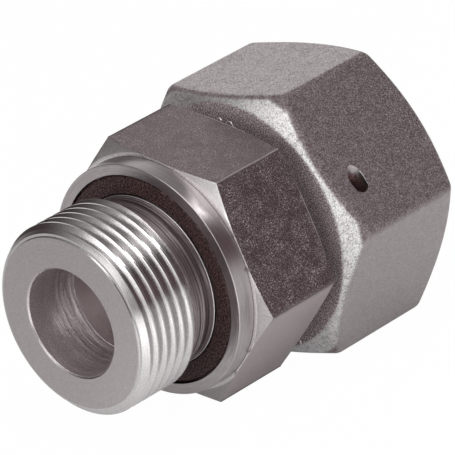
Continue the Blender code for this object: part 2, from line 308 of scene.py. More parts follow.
studShape = {
    "diameter": 33.0, "chamfer": 1.4, "run": 12.3, "length": 18.0, "neck": 29.2, "ramp": 0.7,
    "neckCorner": 0.3, "bore": 18.5, "edge": 0.3, "edgeCorner": 0.1, "softCorner": 0.05,
    "turnedBore": 18.7, "turnedDepth": 10.5, "turnedRamp": 0.15,
    # the small step round the end face
    "rimStep": 0.3, "rimWidth": 0.25, "rimLean": 0.08, "rimCorner": 0.06,
    # the fine bead on the neck beside the seal
    "beadDiameter": 29.76, "beadWidth": 0.12, "beadRun": 0.9, "beadFlank": 0.1, "beadRise": 0.13,
    "beadCorner": 0.04, "beadPast": 0.05, "beadEnd": 0.2,
    # the port thread
    "pitch": 2.0, "rootRadius": 0.22, "rootSteps": 6, "crestFlat": 0.25, "depth": 1.2268,
    "threadTurns": 8, "threadStart": -1.6, "threadTurn": 0.0,
}
collarShape = {
    "diameter": 40.4, "thickness": 3.4, "grooveDiameter": 36.6, "grooveDepth": 2.4,
    "grooveCorner": 0.08, "edge": 0.1, "corner": 0.1,
}
bodyHexShape = {
    "flats": 41.0, "length": 16.5, "faceDiameter": 41.4, "chamfer": 15.0, "turn": 14.79,
    "cornerWidth": 0.18, "cornerSteps": 2, "cornerLeast": 40.0,
    "rimWidth": 0.12, "rimSteps": 2, "rimInside": 0.02, "rimLeast": 22.0,
}
spigotShape = {
    "diameter": 27.9, "length": 14.2, "fillet": 0.6, "filletSteps": 4, "coneLength": 11.5,
    "coneAngle": 12.0, "tipCorner": 0.3, "ringStation": 5.0, "ringCord": 2.5, "ringProud": 0.5,
    "ringEdge": 0.1, "ringCorner": 0.15, "ringSteps": 160, "cordSteps": 32,
}
nutShape = {
    "gap": 3.2, "flats": 46.0, "length": 26.3, "faceDiameter": 43.5, "chamfer": 30.0,
    "boreClearance": 0.3, "boreChamfer": 0.3, "land": 0.2, "relief": 36.4, "reliefWidth": 3.0,
    "reliefCorner": 0.2, "mouthChamfer": 1.2, "edgeCorner": 0.1, "faceCorner": 1.0,
    "cornerRadius": 1.8, "cornerSteps": 5, "barOver": 1.0, "tipRadius": 25.1,
    "rimWidth": 1.1, "rimSteps": 4, "rimInside": 0.03, "rimLeast": 22.0,
    # the thread in its mouth
    "threadDiameter": 36.0, "pitch": 2.0, "crestShare": 0.125, "depthShare": 0.5413,
    "threadTurns": 7, "threadTurn": 0.7,
}
threadCut = {"over": 0.12, "flank": 30.0}   # how far a cutter stands clear; half the V's angle
wireShape = {"diameter": 3.0, "inNut": 6.66, "wrap": 312.0, "tail": 8.0, "sides": 24, "steps": 150,
             "grooveSteps": 16}
feedShape = {"clearance": 0.3, "side": 5.0, "rampDepth": 1.0, "rampAngle": 40.0, "turn": 240.0,
             "rampFloor": 1.1, "over": 2.0, "sides": 48}
sealShape = {"inside": 0.45, "outside": 0.2, "recess": 0.1, "lip": 0.35, "steps": 192,
             "innerCorner": 0.12, "faceCorner": 0.2, "lipCorner": 0.15, "backCorner": 0.1}
seat = 0.3                              # room between a ring or wire and its groove
roundSteps = 256
nutSteps = 180
metalAngle = 32.0                       # edges sharper than this stay sharp
softAngle = 40.0

collarBack = studShape["length"] + collarShape["thickness"]
hexBack = collarBack + bodyHexShape["length"]
nutFront = hexBack + nutShape["gap"]
nutBack = nutFront + nutShape["length"]
wireStation = nutFront + wireShape["inNut"]
coneStart = hexBack + spigotShape["length"]
coneEnd = coneStart + spigotShape["coneLength"]
spigotRadius = spigotShape["diameter"] / 2
nutBoreRadius = spigotRadius + nutShape["boreClearance"]
wireRadius = (spigotRadius + nutBoreRadius) / 2
wireGroove = wireShape["diameter"] / 2 + seat
nutMinor = nutShape["threadDiameter"] / 2 - nutShape["depthShare"] * nutShape["pitch"]
shoulderStart = wireStation + wireGroove + nutShape["land"]
shoulderEnd = shoulderStart + nutMinor - nutBoreRadius
reliefEnd = shoulderEnd + nutShape["reliefWidth"]
flankSlope = math.tan(math.radians(threadCut["flank"]))


def coneRadius(station):
    return spigotRadius - (station - coneStart) * math.tan(math.radians(spigotShape["coneAngle"]))


ringStation = coneStart + spigotShape["ringStation"]
ringCentre = coneRadius(ringStation) + spigotShape["ringProud"] - spigotShape["ringCord"] / 2


def hexBlank(front, back, shape, corner):
    tip = shape["flats"] / math.sqrt(3)
    fall = (tip - shape["faceDiameter"] / 2) * math.tan(math.radians(shape["chamfer"]))
    return [(front, shape["faceDiameter"] / 2, corner), (front + fall, tip, 0.0),
            (back - fall, tip, 0.0), (back, shape["faceDiameter"] / 2, corner)]


# the stud from its bore over its face and thread to the neck, the seal's groove and the collar
def studOutline():
    length, chamfer, step = studShape["length"], studShape["chamfer"], studShape["rimStep"]
    run, soft = studShape["run"], studShape["softCorner"]
    stud, neck, bead = studShape["diameter"] / 2, studShape["neck"] / 2, studShape["beadDiameter"] / 2
    turnedBore = studShape["turnedBore"] / 2
    rim = stud - chamfer - studShape["rimWidth"]
    beadStart = length - studShape["beadWidth"]
    collar, edge, corner = collarShape["diameter"] / 2, collarShape["edge"], collarShape["corner"]
    groove = collarShape["grooveDiameter"] / 2
    grooveFloor = length + collarShape["grooveDepth"]
    face = [(0.0, turnedBore + studShape["edge"], studShape["edgeCorner"]),
            (0.0, rim, studShape["rimCorner"]), (step, rim + studShape["rimLean"], soft),
            (step, stud - chamfer + step, soft), (chamfer, stud, 0.0)]
    shank = [(run, stud, 0.0), (run + studShape["ramp"], neck, studShape["neckCorner"]),
             (beadStart - studShape["beadRun"], neck, studShape["neckCorner"]),
             (beadStart - studShape["beadFlank"], bead - studShape["beadRise"], soft),
             (beadStart, bead, studShape["beadCorner"]), (length + studShape["beadPast"], bead, soft),
             (length + studShape["beadEnd"], neck, 0.0)]
    sealGroove = [(grooveFloor, neck, 0.0), (grooveFloor, groove, 0.0),
                  (length, groove, collarShape["grooveCorner"]), (length, collar - edge, corner),
                  (length + edge, collar, corner), (collarBack, collar, 0.0)]
    return face + shank + sealGroove


# behind the hexagon: the spigot with its wire groove, the cone with its ring, and the bore back
def spigotOutline():
    fillet, edge, soft = spigotShape["fillet"], studShape["edge"], studShape["softCorner"]
    bore, turnedBore = studShape["bore"] / 2, studShape["turnedBore"] / 2
    depth = studShape["turnedDepth"]
    ringGroove = ringCentre - spigotShape["ringCord"] / 2 - seat
    ringHalf = spigotShape["ringCord"] / 2 + seat
    ringFront, ringBack = ringStation - ringHalf, ringStation + ringHalf
    dip = math.degrees(math.asin((spigotRadius - wireRadius) / wireGroove))
    spigot = sharpSpots(arcPoints(hexBack + fillet, spigotRadius + fillet, fillet, 180.0, 270.0,
                                  spigotShape["filletSteps"]))
    spigot += sharpSpots(arcPoints(wireStation, wireRadius, wireGroove, 180.0 - dip, 360.0 + dip,
                                   wireShape["grooveSteps"]))
    cone = [(coneStart, spigotRadius, 0.0), (ringFront, coneRadius(ringFront), spigotShape["ringEdge"]),
            (ringFront, ringGroove, spigotShape["ringCorner"]),
            (ringBack, ringGroove, spigotShape["ringCorner"]),
            (ringBack, coneRadius(ringBack), spigotShape["ringEdge"]),
            (coneEnd, coneRadius(coneEnd), spigotShape["tipCorner"])]
    inside = [(coneEnd, bore + edge, 0.0), (coneEnd - edge, bore, 0.0), (depth, bore, soft),
              (depth - studShape["turnedRamp"], turnedBore, soft),
              (edge, turnedBore, studShape["edgeCorner"])]
    return spigot + cone + inside


# a V groove with a round root, wound from in front of the stud to its neck
def studThreadTool():
    major, over, root = studShape["diameter"] / 2, threadCut["over"], studShape["rootRadius"]
    half = (studShape["pitch"] - studShape["crestFlat"]) / 2
    rootCentre = major - studShape["depth"] + root
    section = [(half + over * flankSlope, major + over), (-half - over * flankSlope, major + over)]
    section += arcPoints(0.0, rootCentre, root, 210.0, 330.0, studShape["rootSteps"])
    return windSection("studThreadTool", section, studShape, studShape["threadStart"])


def buildBody():
    outline = studOutline() + hexBlank(collarBack, hexBack, bodyHexShape, 0.0) + spigotOutline()
    body = turnOutline("fittingBody", softOutline(outline), roundSteps)
    millFlats(body, bodyHexShape)
    roundCorners(body, bodyHexShape)
    softenRims(body, bodyHexShape)
    cutAway(body, studThreadTool())
    smoothPiece(body, metalAngle)
    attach(body, "fitting")
    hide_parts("body")
    print("body", len(body.data.polygons))
    return body


# the feed hole's path: its mouth, where its ramp bends inwards, and where it meets the wire
def feedPath():
    half, side, depth = nutShape["flats"] / 2, feedShape["side"], feedShape["rampDepth"]
    over = feedShape["over"]
    slope = math.acos(wireRadius / math.hypot(half, side)) + math.atan2(side, half)

    def place(outward, sideways):
        return spot(wireStation, math.hypot(outward, sideways),
                    feedShape["turn"] + math.degrees(math.atan2(sideways, outward)))

    bendSide = side + depth / math.tan(slope)
    mouthSide = bendSide - (depth + over) / math.tan(math.radians(feedShape["rampAngle"]))
    mouth = place(half + over, mouthSide)
    bend = place(half - depth, bendSide)
    tangent = place(wireRadius * math.cos(slope), wireRadius * math.sin(slope))
    return mouth, bend, tangent


def drill(name, start, end, radius):
    freshStart()
    along = end - start
    bpy.ops.mesh.primitive_cylinder_add(vertices=feedShape["sides"], radius=radius * mm,
                                        depth=along.length, location=(start + end) / 2,
                                        rotation=along.to_track_quat("Z", "Y").to_euler())
    return applyPlace(bpy.context.object, name)


def nutOutline():
    bore, relief = nutBoreRadius, nutShape["relief"] / 2
    edge, reliefCorner = nutShape["edgeCorner"], nutShape["reliefCorner"]
    rise = math.degrees(math.asin((bore - wireRadius) / wireGroove))
    outline = hexBlank(nutFront, nutBack, nutShape, nutShape["faceCorner"])
    outline += [(nutBack, nutMinor + nutShape["mouthChamfer"], edge),
                (nutBack - nutShape["mouthChamfer"], nutMinor, 0.0),
                (reliefEnd + relief - nutMinor, nutMinor, 0.0), (reliefEnd, relief, reliefCorner),
                (shoulderEnd, relief, reliefCorner), (shoulderEnd, nutMinor, edge),
                (shoulderStart, bore, 0.0)]
    outline += sharpSpots(arcPoints(wireStation, wireRadius, wireGroove, rise, 180.0 - rise,
                                    wireShape["grooveSteps"]))
    outline += [(nutFront + nutShape["boreChamfer"], bore, 0.0),
                (nutFront, bore + nutShape["boreChamfer"], edge)]
    return outline


def nutThreadTool():
    major, over = nutShape["threadDiameter"] / 2, threadCut["over"]
    half = nutShape["crestShare"] * nutShape["pitch"] / 2
    wide = half + (major - nutMinor + over) * flankSlope
    section = [(-wide, nutMinor - over), (wide, nutMinor - over), (half, major), (-half, major)]
    return windSection("nutThreadTool", section, nutShape, reliefEnd - nutShape["reliefWidth"] / 2)


def buildNut():
    nut = turnOutline("swivelNut", softOutline(nutOutline(), 4), nutSteps)
    over = nutShape["barOver"]
    cutAway(nut, hexBar("nutBar", nutFront - over, nutBack + over, nutShape), "INTERSECT")
    softenRims(nut, nutShape)
    cutAway(nut, nutThreadTool())
    mouth, bend, tangent = feedPath()
    holeRadius = (wireShape["diameter"] + feedShape["clearance"]) / 2
    cutAway(nut, drill("feedRampTool", mouth, bend, holeRadius))
    start = bend + (bend - tangent).normalized() * holeRadius / 2 * mm
    cutAway(nut, drill("feedHoleTool", start, tangent, holeRadius))
    smoothPiece(nut, metalAngle)
    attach(nut, "nut")
    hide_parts("swivel_nut")
    print("nut", len(nut.data.polygons))
    return nut


def buildSeal():
    inner = studShape["neck"] / 2 + sealShape["inside"]
    outer = collarShape["grooveDiameter"] / 2 - sealShape["outside"]
    front = studShape["length"] + sealShape["recess"]
    back = studShape["length"] + collarShape["grooveDepth"] - seat
    lip, backCorner = sealShape["lip"], sealShape["backCorner"]
    outline = [(front, inner, sealShape["innerCorner"]), (front, outer - lip, sealShape["faceCorner"]),
               (front + lip, outer, sealShape["lipCorner"]), (back, outer, backCorner),
               (back, inner, backCorner)]
    seal = turnOutline("studSeal", softOutline(outline, 4), sealShape["steps"])
    smoothPiece(seal, softAngle)
    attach(seal, "fitting")
    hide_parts("stud_seal")
    print("seal", len(seal.data.polygons))
    return seal


def buildRing():
    freshStart()
    bpy.ops.mesh.primitive_torus_add(major_segments=spigotShape["ringSteps"],
                                     minor_segments=spigotShape["cordSteps"],
                                     major_radius=ringCentre * mm,
                                     minor_radius=spigotShape["ringCord"] / 2 * mm,
                                     location=spot(ringStation), rotation=(0.0, math.pi / 2, 0.0))
    ring = applyPlace(bpy.context.object, "coneORing")
    bpy.ops.object.shade_smooth()
    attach(ring, "fitting")
    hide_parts("cone_o_ring")
    print("ring", len(ring.data.polygons))
    return ring


def buildWire():
    bend, tangent = feedPath()[1:]
    back = (bend - tangent).normalized()
    sweepRound(tangent, back, wireShape["diameter"] / 2, wireShape["sides"], spot(wireStation),
               wireShape["wrap"], wireShape["steps"])
    wire = bpy.context.object

    def isAtTangent(vert):
        away = wire.matrix_world @ vert.co - tangent
        return abs(away.dot(back)) < samePlace and away.length < wireShape["diameter"] * mm

    pick("VERT", isAtTangent)
    bpy.ops.mesh.select_mode(type="EDGE")
    bpy.ops.mesh.extrude_region_move(TRANSFORM_OT_translate={"value": back * wireShape["tail"] * mm})
    closeEnds()
    applyPlace(wire, "retainingWire")
    bpy.ops.object.shade_smooth_by_angle(angle=math.radians(softAngle))
    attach(wire, "nut")
    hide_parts("retaining_wire")
    print("wire", len(wire.data.polygons))
    return wire


# small chips that the milling cutter left on the rear edges of the body's hexagon
burrShape = {
    "thickness": 0.20, "sides": 10, "steps": 24, "sunk": 0.05,
    # the flat's turn, how far along the flat, the curl's size, how far it winds, its lean
    "curls": [(194.79, -0.6, 0.70, 190.0, 10.0), (194.79, 1.6, 0.55, 100.0, -50.0),
              (314.79, -5.4, 0.60, 180.0, 0.0)],
}


def buildBurrs():
    curls = []
    for turn, along, size, wind, lean in burrShape["curls"]:
        outward = outwardAt(turn)
        beside = outward.cross(Vector(around))
        centre = spot(hexBack - burrShape["sunk"], bodyHexShape["flats"] / 2, turn) + beside * along * mm
        tilt = math.radians(lean)
        start = (beside * math.cos(tilt) - outward * math.sin(tilt)) * size * mm
        sweepRound(centre + start, start.cross(Vector(around)).normalized(), burrShape["thickness"] / 2,
                   burrShape["sides"], centre, -wind, burrShape["steps"])
        closeEnds()
        curls.append(applyPlace(bpy.context.object, "millingBurrs"))
    freshStart()
    for curl in curls:
        curl.select_set(True)
    bpy.context.view_layer.objects.active = curls[0]
    bpy.ops.object.join()
    burrs = applyPlace(curls[0], "millingBurrs")
    bpy.ops.object.shade_smooth()
    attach(burrs, "fitting")
    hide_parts("body")
    print("burrs", len(burrs.data.polygons))
    return burrs


# a socket that takes part in sums as a number would
class Signal:
    def __init__(self, tree, socket):
        self.tree = tree
        self.socket = socket

    def maths(self, operation, *values):
        node = self.tree.nodes.new("ShaderNodeMath")
        node.operation = operation
        for place, value in enumerate(values):
            plug(self.tree, node.inputs[place], value)
        return Signal(self.tree, node.outputs[0])

    def __add__(self, other):
        return self.maths("ADD", self, other)

    def __radd__(self, other):
        return self.maths("ADD", other, self)

    def __sub__(self, other):
        return self.maths("SUBTRACT", self, other)

    def __rsub__(self, other):
        return self.maths("SUBTRACT", other, self)

    def __mul__(self, other):
        return self.maths("MULTIPLY", self, other)

    def __rmul__(self, other):
        return self.maths("MULTIPLY", other, self)

    def __pow__(self, other):
        return self.maths("POWER", self, other)

    def __rpow__(self, other):
        return self.maths("POWER", other, self)

    def root(self):
        return self.maths("SQRT", self)

    def exponent(self):
        return self.maths("EXPONENT", self)

    def above(self, limit):
        return self.maths("GREATER_THAN", self, limit)

    def below(self, limit):
        return self.maths("LESS_THAN", self, limit)

    def within(self, low, high):
        return self.above(low) * self.below(high)

    def highest(self, other):
        return self.maths("MAXIMUM", self, other)

    def lowest(self, other):
        return self.maths("MINIMUM", self, other)


def plug(tree, socket, value):
    if isinstance(value, Signal):
        tree.links.new(value.socket, socket)
    else:
        socket.default_value = value


# the nodes of one material or of the room
class Nodes:
    def __init__(self, tree):
        self.tree = tree

    # any other node: its type, the values or links of its sockets, the output that is wanted, by
    # name or number (None gives them all), and its settings
    def add(self, kind, sockets=None, output=0, **settings):
        node = self.tree.nodes.new("ShaderNode" + kind)
        for key, value in settings.items():
            setattr(node, key, value)
        for key, value in (sockets or {}).items():
            plug(self.tree, node.inputs[key], value)
        if output is None:
            return [Signal(self.tree, socket) for socket in node.outputs]
        return Signal(self.tree, node.outputs[output])


class Finish(Nodes):
    def __init__(self, name, roughness, metallic):
        self.material = bpy.data.materials.new(name)
        self.material.use_nodes = True
        super().__init__(self.material.node_tree)
        self.shader = self.tree.nodes["Principled BSDF"]
        self.shader.inputs["Roughness"].default_value = roughness
        self.shader.inputs["Metallic"].default_value = metallic
        self.coordinates = self.add("TexCoord", output="Object")

    # station along the axis, radius from it, and the ways across and up from it, in millimetres
    def turned(self):
        x, y, z = self.add("SeparateXYZ", {0: self.coordinates}, output=None)
        across, height = y * 1000.0, (z - axisHeight) * 1000.0
        return (x - studFace) * 1000.0, (across * across + height * height).root(), across, height

    def noise(self, scale, detail=2.0, roughness=0.5, vector=None):
        return self.add("TexNoise", {"Vector": vector or self.coordinates, "Scale": scale,
                                     "Detail": detail, "Roughness": roughness})

    def ramp(self, share, low, high):
        return self.add("MapRange", {"Value": share, "From Min": low, "From Max": high}, clamp=True)

    # noise drawn out between two of its values
    def pattern(self, look, vector=None):
        scale, detail, roughness, low, high = look
        return self.ramp(self.noise(scale, detail, roughness, vector), low, high)

    def blendColour(self, share, first, second):
        first, second = [value if isinstance(value, Signal) else (*value, 1.0) for value in (first, second)]
        return self.add("Mix", {0: share, 6: first, 7: second}, output=2, data_type="RGBA")

    def bump(self, height, strength, distance):
        return self.add("Bump", {"Height": height, "Strength": strength, "Distance": distance})

    def finish(self, **sockets):
        for key, value in sockets.items():
            plug(self.tree, self.shader.inputs[key.replace("_", " ")], value)
        return self.material


# zones of the body, each with its dark and light colour, the share of turned rings in its
# pattern (the rest is grain), its roughness, and the height of rings and of grain
turnedLook = {
    "thread": ((0.49, 0.455, 0.46), (0.60, 0.605, 0.605), 0.2, 0.18, 0.12, 0.10),
    "face": ((0.38, 0.351, 0.351), (0.505, 0.471, 0.471), 0.2, 0.30, 0.3, 0.3),
    "collar": ((0.37, 0.325, 0.33), (0.55, 0.525, 0.53), 0.8, 0.29, 0.25, 0.03),
    "cone": ((0.36, 0.33, 0.33), (0.98, 0.965, 0.965), 0.1, 0.36, 0.1, 0.10),
    "flats": ((0.135, 0.093, 0.098), (1.0, 0.92, 0.93), 0.0, 0.42, 0.0, 1.8),
    "corners": ((0.22, 0.19, 0.195), (0.36, 0.33, 0.33), 0.0, 0.45, 0.0, 0.3),
    "neck": ((0.22, 0.17, 0.175), (0.90, 0.84, 0.85), 0.9, 0.40, 1.3, 0.3),
    # the bead is a real ridge, painted near white as a bright highlight line
    "bead": ((0.80, 0.77, 0.77), (1.0, 0.98, 0.98), 0.2, 0.40, 0.0, 0.2),
    # painted highlight: a thin bright line along the rear edges of the flats
    "rearEdge": ((0.50, 0.46, 0.46), (0.80, 0.77, 0.77), 0.0, 0.55, 0.0, 0.2),
    "hexFace": ((0.60, 0.57, 0.57), (0.90, 0.87, 0.87), 0.2, 0.38, 0.0, 0.1),
    # painted shade: a dark line in the crease where the collar meets the hexagon's face
    "seam": ((0.18, 0.145, 0.145), (0.25, 0.21, 0.21), 0.0, 0.5, 0.0, 0.2),
    "deepBore": ((0.68, 0.60, 0.605), (0.80, 0.725, 0.73), 0.3, 0.50, 0.2, 0.4),
    "bore": ((0.27, 0.22, 0.225), (1.0, 0.94, 0.95), 0.6, 0.50, 2.6, 0.5),
}
# patterns of the turned steel: a noise's scale, detail and roughness, and for those that are
# drawn out between dark and light the two of its values to draw out
turnedPattern = {
    "wander": (50.0, 1.0, 0.5), "grain": (4500.0, 2.0, 0.7), "cloud": (220.0, 3.0, 0.5),
    "rings": (4.5, 3.0, 0.7, 0.34, 0.66), "scratches": (1.1, 4.0, 0.8, 0.40, 0.62),
    "fineRings": (9.0, 2.0, 0.8, 0.48, 0.70), "sparkle": (6200.0, 2.0, 0.7, 0.50, 0.74),
    "fresh": (90.0, 2.0, 0.6, 0.40, 0.60), "patches": (420.0, 3.0, 0.6, 0.38, 0.62),
}
# how those patterns are drawn out and mixed
turnedMix = {
    "looseRings": 2.5, "steadyRings": 0.4, "specks": (0.36, 0.66), "scratchRun": (2.0, 9.5),
    "scratchGrowth": 0.6, "scratchFresh": 0.4, "scratchMiddle": 0.45, "patchReach": 0.7,
    # across, height and share of the painted highlight on the hexagon's cone follow patchLeast
    "patchLeast": 0.6, "glintAcross": (9.0, 18.0), "glintHeight": (-2.0, 8.0),
    "glintShare": 0.7, "cloud": 0.06,
}
# radii, widths and small distances that part the zones of the body
turnedEdge = {
    "grooveWall": 17.6, "neckMost": 16.6, "neckPast": 3.0, "coneLeast": 20.6, "coneDepth": 6.0,
    "faceLeast": 20.25, "faceBand": (-0.02, 0.05), "skin": 0.03, "seam": 0.06, "near": 0.1,
    "beadBefore": 0.16, "beadBelow": 0.12, "beadMost": 15.2, "boreOver": 0.15, "boreFrom": 0.2,
    "cornerEnd": 0.8, "cornerBelow": 0.11, "rearBand": (0.01, 0.22), "rearBelow": 0.15,
}
# how much of the grain shows on a side, and how much lighter or darker the side is painted for the way it
# faces the light
bodyGrainAndShade = {"above": (0.60, 0.09), "beside": (1.15, -0.075), "below": (0.25, 0.42)}
nutGrainAndShade = {"above": (1.9, 0.27), "beside": (0.88, -0.205), "below": (0.45, 0.24)}
sideBlend = {"lower": 0.8, "upper": 0.1}


# a hexagon's sides differ in grain and in painted light and shade: those that look down, those beside and
# those that look up
def sideGrainAndShade(finish, look, height, lower, upper):
    overLower = finish.ramp(height, lower - sideBlend["lower"], lower + sideBlend["lower"])
    overUpper = finish.ramp(height, upper - sideBlend["upper"], upper)
    return [overLower * (beside - below) + overUpper * (above - beside) + below
            for below, beside, above in zip(look["below"], look["beside"], look["above"])]


# where each zone lies; a later one lies over those before it
def bodyZones(station, radius, rise):
    edge, near, skin, seam = turnedEdge, turnedEdge["near"], turnedEdge["skin"], turnedEdge["seam"]
    length, half = studShape["length"], bodyHexShape["flats"] / 2
    behind, before = station - collarBack, hexBack - station
    return {
        "face": station.below(near),
        "collar": station.above(length - near) * station.below(hexBack) * radius.above(edge["grooveWall"]),
        "cone": behind.within(0.0, edge["coneDepth"]) * (behind - rise).below(skin)
        * radius.above(edge["coneLeast"]),
        "flats": (behind - rise).above(skin) * (before - rise).above(skin) * radius.above(half - near),
        "neck": station.within(studShape["run"], length + edge["neckPast"]) * radius.below(edge["neckMost"]),
        "bead": station.within(length - edge["beadBefore"], length + near)
        * radius.within(studShape["beadDiameter"] / 2 - edge["beadBelow"], edge["beadMost"]),
        "bore": station.above(edge["boreFrom"])
        * radius.below(studShape["turnedBore"] / 2 + edge["boreOver"]),
        "deepBore": radius.below(studShape["bore"] / 2 + near)
        * station.above(studShape["turnedDepth"] + near),
        "corners": station.within(collarBack + edge["cornerEnd"], hexBack - edge["cornerEnd"])
        * radius.above(bodyHexShape["flats"] / math.sqrt(3) - edge["cornerBelow"]),
        "hexFace": behind.within(*edge["faceBand"]) * radius.above(edge["faceLeast"]),
        "seam": behind.within(-seam, seam) * radius.below(edge["faceLeast"]),
        "rearEdge": before.within(*edge["rearBand"]) * radius.above(half - edge["rearBelow"]),
    }


def turnedSteel():
    finish = Finish("turnedSteel", 0.25, 1.0)
    station, radius, across, height = finish.turned()
    looks, mix = turnedPattern, turnedMix
    # rings that the turning tool left: they vary along the outline, and only slowly round it
    wander = finish.noise(*looks["wander"])
    loose = finish.add("CombineXYZ", {"X": station, "Y": radius, "Z": wander * mix["looseRings"]})
    steady = finish.add("CombineXYZ", {"X": station, "Y": radius, "Z": wander * mix["steadyRings"]})
    rings = finish.pattern(looks["rings"], loose)
    fineRings = finish.pattern(looks["fineRings"], steady)
    # the bore's scratches grow stronger inwards, and come and go
    strength = finish.ramp(station, *mix["scratchRun"]) * mix["scratchGrowth"] \
        + finish.pattern(looks["fresh"]) * mix["scratchFresh"]
    middle = mix["scratchMiddle"]
    scratches = (finish.pattern(looks["scratches"], loose) - middle) * strength + middle
    grain = finish.noise(*looks["grain"])
    specks = finish.ramp(grain, *mix["specks"])
    cloud = finish.noise(*looks["cloud"])
    # bright points on the flats, thicker in some patches than in others, and each flat painted lighter or
    # darker by the way it faces
    patches = finish.pattern(looks["patches"]) * mix["patchReach"] + mix["patchLeast"]
    tip, turn = bodyHexShape["flats"] / math.sqrt(3), bodyHexShape["turn"]
    lower, upper = -tip * math.cos(math.radians(90.0 - turn)), tip * math.cos(math.radians(30.0 + turn))
    calm, paintedSideShade = sideGrainAndShade(finish, bodyGrainAndShade, height, lower, upper)
    sparkle = finish.pattern(looks["sparkle"]) * patches * calm + paintedSideShade
    # painted highlight: the cone of the hexagon is painted brighter at one corner, above on its -Y side,
    # where a glint falls
    glintShare = mix["glintShare"]
    paintedGlint = finish.ramp(across * -1.0, *mix["glintAcross"]) \
        * finish.ramp(height, *mix["glintHeight"])
    rise = (radius - bodyHexShape["faceDiameter"] / 2) * math.tan(math.radians(bodyHexShape["chamfer"]))
    dark, light, share, rough, ringHeight, grainHeight = turnedLook["thread"]
    colour = finish.blendColour(rings * share + specks * (1.0 - share), dark, light)
    relief = rings * ringHeight + grain * grainHeight
    for name, zone in bodyZones(station, radius, rise).items():
        dark, light, share, zoneRough, ringHeight, grainHeight = turnedLook[name]
        lines = {"bore": scratches, "neck": fineRings}.get(name, rings)
        pattern = lines * share + specks * (1.0 - share)
        if name == "flats":
            pattern = sparkle
        if name == "cone":
            pattern = pattern * (1.0 - glintShare) + paintedGlint * glintShare
        colour = finish.blendColour(zone, colour, finish.blendColour(pattern, dark, light))
        rough = (1.0 - zone) * rough + zone * zoneRough
        relief = (1.0 - zone) * relief + zone * (lines * ringHeight + grain * grainHeight)
    return finish.finish(Base_Color=colour, Roughness=rough + (cloud - 0.5) * mix["cloud"],
                         Normal=finish.bump(relief, 1.0, 0.00005))


# the nut's forged skin, its end faces, its brighter chamfers and the drilled feed hole, with painted light
# on the hole's ramp, painted shade deeper in it and a painted bright line on its lip: the dark and light
# colour of each, and its roughness
blastedLook = {
    "skin": ((0.17, 0.120, 0.125), (0.63, 0.595, 0.60), 0.40),
    "frontFace": ((0.20, 0.145, 0.15), (1.0, 0.90, 0.90), 0.50),
    "mouthFace": ((0.34, 0.30, 0.305), (0.62, 0.585, 0.59), 0.42),
    "chamfers": ((0.20, 0.18, 0.18), (0.86, 0.855, 0.855), 0.30),
    "tips": ((0.12, 0.08, 0.085), (0.50, 0.45, 0.45), 0.45),
    # painted light on the hole's ramp, painted shade deeper in the hole
    "ramp": ((0.50, 0.45, 0.45), (0.68, 0.63, 0.63), 0.35),
    "deep": ((0.06, 0.025, 0.025), (0.62, 0.42, 0.40), 0.60),
    # painted highlight: the lip of the hole is white as a bright line
    "lip": ((0.9, 0.9, 0.9), (1.0, 1.0, 1.0), 0.45),
}
# patterns of that skin: noises by scale, detail and roughness, the pits' share in others, and
# pairs of values to draw a pattern out between
blastedPattern = {
    "grain": (4200.0, 3.0, 0.7), "pits": (900.0, 2.0, 0.5), "cloud": (160.0, 3.0, 0.5),
    "speckPits": 0.15, "chamferPits": 0.3, "reliefPits": 0.5, "specks": (0.36, 0.66),
    "frontFace": (0.43, 0.64), "chamfers": (0.28, 0.56), "chamferCalm": 0.6, "cloudShare": 0.1,
}
# soft limits of the nut's end faces, chamfers and corner tips
nutEdge = {"face": (0.02, 0.15), "coneEnd": (0.05, 0.25), "coneFoot": (0.05, 0.3), "coneBelow": 0.4,
           "tip": 0.3, "lowest": -0.4, "skin": 0.02}
# where the feed hole's wall is looked for: outwards, sideways and along, and where its lip is painted as a
# bright line
holeEdge = {"inside": 15.6, "skin": 0.06, "side": 9.0, "half": 1.8,
            "lipGlintDepth": 0.25, "lipGlintAlong": 1.0, "lipGlintSide": (3.4, 5.8)}


def nutZones(finish, station, radius, across, height):
    front, back = station - nutFront, nutBack - station
    ends = front.lowest(back)
    rise = (radius - nutShape["faceDiameter"] / 2) * math.tan(math.radians(nutShape["chamfer"]))
    cone = finish.ramp(ends, *nutEdge["coneEnd"]) * (1.0 - finish.ramp(ends - rise, *nutEdge["coneFoot"])) \
        * radius.above(nutShape["faceDiameter"] / 2 - nutEdge["coneBelow"])
    tip = finish.ramp(radius, nutShape["tipRadius"] - nutEdge["tip"], nutShape["tipRadius"] + nutEdge["tip"])
    turn, half = math.radians(feedShape["turn"]), nutShape["flats"] / 2
    outward = across * math.sin(turn) - height * math.cos(turn)
    sideways = across * math.cos(turn) + height * math.sin(turn)
    along = station - wireStation
    hole = outward.within(holeEdge["inside"], half - holeEdge["skin"]) \
        * sideways.within(0.0, holeEdge["side"]) * along.within(-holeEdge["half"], holeEdge["half"])
    zones = {
        "frontFace": 1.0 - finish.ramp(front, *nutEdge["face"]),
        "mouthFace": 1.0 - finish.ramp(back, *nutEdge["face"]),
        "chamfers": cone * (1.0 - tip),
        "tips": cone * tip,
        # the hole's ramp is painted lighter and its deeper part dark as shade
        "ramp": hole * outward.above(half - feedShape["rampFloor"]),
        "deep": hole * outward.below(half - feedShape["rampFloor"]),
        # the lip is painted as a bright line
        "lip": hole * outward.above(half - holeEdge["lipGlintDepth"]) * along.above(holeEdge["lipGlintAlong"])
        * sideways.within(*holeEdge["lipGlintSide"]),
    }
    return zones, hole


